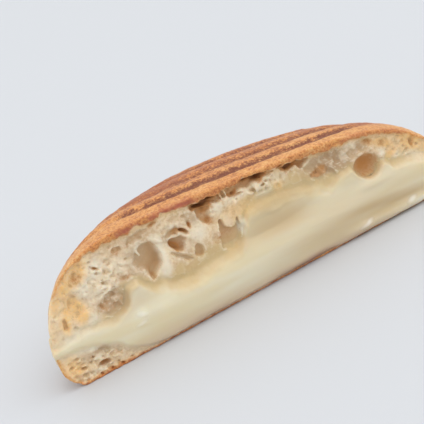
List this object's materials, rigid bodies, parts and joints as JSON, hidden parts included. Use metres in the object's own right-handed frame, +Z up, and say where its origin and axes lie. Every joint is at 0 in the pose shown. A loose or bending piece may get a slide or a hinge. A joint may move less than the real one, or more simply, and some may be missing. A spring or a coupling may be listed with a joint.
{
  "type": "grilled cheese sandwich half",
  "caption": "Half of a pressed, grilled oval roll cut lengthwise: ribbed domed top bread, melted cheese running down over the cut, and a flat bottom bread.",
  "frame": {"origin": "centre of the bounding box in plan, at the flat bottom that it stands on", "axes": "+X along the cut, +Y from the cut face towards the back of the roll, +Z up"},
  "size_m": [0.1514, 0.0594, 0.0417],
  "materials": {
    "bread": "toasted crust, golden brown with darker press marks, matt to faintly satin; pale open crumb on the cut",
    "cheese": "melted pale yellow cheese, soft gloss, slightly translucent"
  },
  "bodies": {
    "root": {"top_bread": "bread", "cheese": "cheese", "bottom_bread": "bread"}
  },
  "joints": []
}
